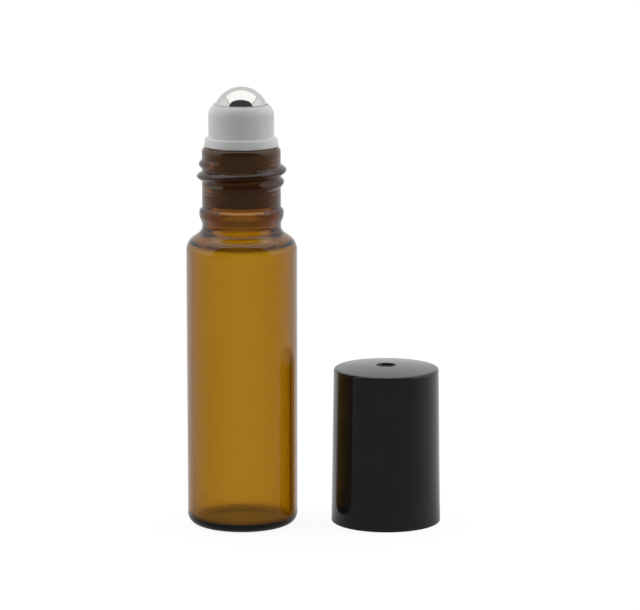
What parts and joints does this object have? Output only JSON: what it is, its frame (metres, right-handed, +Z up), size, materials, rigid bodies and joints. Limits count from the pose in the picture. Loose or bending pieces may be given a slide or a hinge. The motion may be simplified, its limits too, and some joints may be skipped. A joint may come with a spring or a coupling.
{
  "type": "roll-on bottle",
  "caption": "Slim amber glass roll-on bottle: a steel ball rolls in a plastic housing plugged into the threaded neck, and its black screw cap stands beside it.",
  "frame": {"origin": "middle of the ring that the glass bottle stands on", "axes": "+Z up along the bottle's axis, +X from the bottle towards the cap that stands beside it, -Y towards the viewer"},
  "size_m": [0.0461, 0.0212, 0.0799],
  "materials": {
    "amber_glass": "clear amber, polished",
    "natural_plastic": "natural translucent white, satin",
    "polished_steel": "polished",
    "black_plastic": "gloss"
  },
  "bodies": {
    "bottle": {"bottle": "amber_glass"},
    "ball_housing": {"ball_housing": "natural_plastic"},
    "roller_ball": {"roller_ball": "polished_steel"},
    "cap": {"cap": "black_plastic"}
  },
  "joints": [
    {"name": "housing_pull", "type": "slide", "parent": "bottle", "child": "ball_housing", "axis": [0, 0, 1], "range_m": [0, 0.018]},
    {"name": "ball_roll", "type": "hinge", "parent": "ball_housing", "child": "roller_ball", "pos_m": [0, 0, 0.07485], "axis": [1, 0, 0], "continuous": true},
    {"name": "cap_lift", "type": "slide", "parent": "bottle", "child": "cap", "axis": [0, 0, 1], "range_m": [0, 0.085]}
  ]
}
